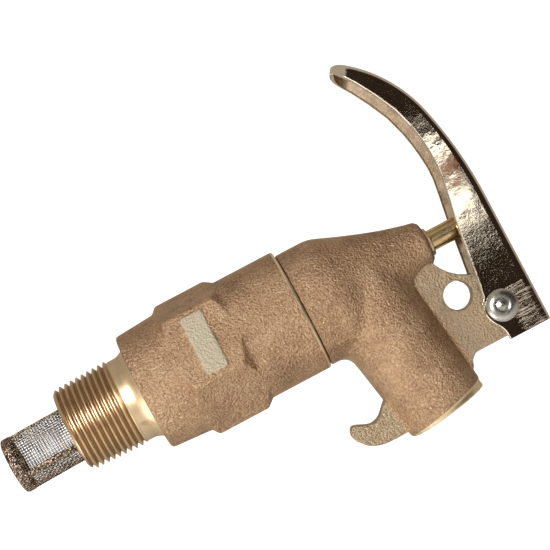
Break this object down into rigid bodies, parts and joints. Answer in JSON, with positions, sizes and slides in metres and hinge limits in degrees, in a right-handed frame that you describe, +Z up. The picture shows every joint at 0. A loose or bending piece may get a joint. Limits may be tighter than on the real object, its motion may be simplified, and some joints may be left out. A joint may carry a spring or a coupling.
{
  "type": "self-closing drum faucet",
  "caption": "Self-closing safety drum faucet: tapered threaded inlet with a flame screen, swivelling spout body, spring-loaded valve, squeeze lever, pail hook and padlock lug.",
  "frame": {"origin": "centre of the inlet's end face, on the valve axis", "axes": "+X along the valve axis from the inlet to the lever, +Z up, away from the spout, Y across the plane of symmetry"},
  "size_m": [0.1588, 0.0419, 0.1078],
  "materials": {
    "cast_bronze": "as cast, blasted, satin",
    "machined_brass": "turned",
    "plated_steel": "bright plate",
    "wire_mesh": "woven wire",
    "spring_steel": "drawn wire",
    "aluminium": "satin",
    "ptfe": "matte",
    "black_rubber": "matte"
  },
  "bodies": {
    "adapter": {"inlet_adapter": "cast_bronze", "screen_tube": "wire_mesh", "screen_cap": "wire_mesh", "screen_collar": "machined_brass", "screen_circlip": "spring_steel", "swivel_gasket": "ptfe", "swivel_ring": "spring_steel"},
    "body": {"faucet_body": "cast_bronze", "swivel_seal": "black_rubber", "spring_spider": "machined_brass", "spider_circlip": "spring_steel", "return_spring": "spring_steel", "packing_washer": "machined_brass", "packing_rings": "ptfe", "packing_follower": "machined_brass", "gland_seal": "black_rubber", "gland_nut": "machined_brass"},
    "stem": {"valve_stem": "machined_brass", "disc_nut": "machined_brass", "lock_washer": "spring_steel", "disc_holder": "machined_brass", "seat_disc": "ptfe", "disc_washer": "machined_brass"},
    "lever": {"lever": "plated_steel", "pivot_rivet": "aluminium", "pivot_spacers": "machined_brass"}
  },
  "joints": [
    {"name": "body_swivel", "type": "hinge", "parent": "adapter", "child": "body", "pos_m": [0.07614, 0, 0], "axis": [1, 0, 0], "continuous": true},
    {"name": "lever_pivot", "type": "hinge", "parent": "body", "child": "lever", "pos_m": [0.12754, 0, -0.026], "axis": [0, -1, 0], "range_deg": [0, 12], "stiffness_Nm_per_rad": 0.6, "springref_deg": -26.36},
    {"name": "stem_slide", "type": "slide", "parent": "body", "child": "stem", "axis": [-1, 0, 0], "range_m": [0, 0.0055], "deforming": ["return_spring"]}
  ],
  "couplings": [
    {"joint": "stem_slide", "follows": "lever_pivot", "m_per_rad": 0.026}
  ]
}
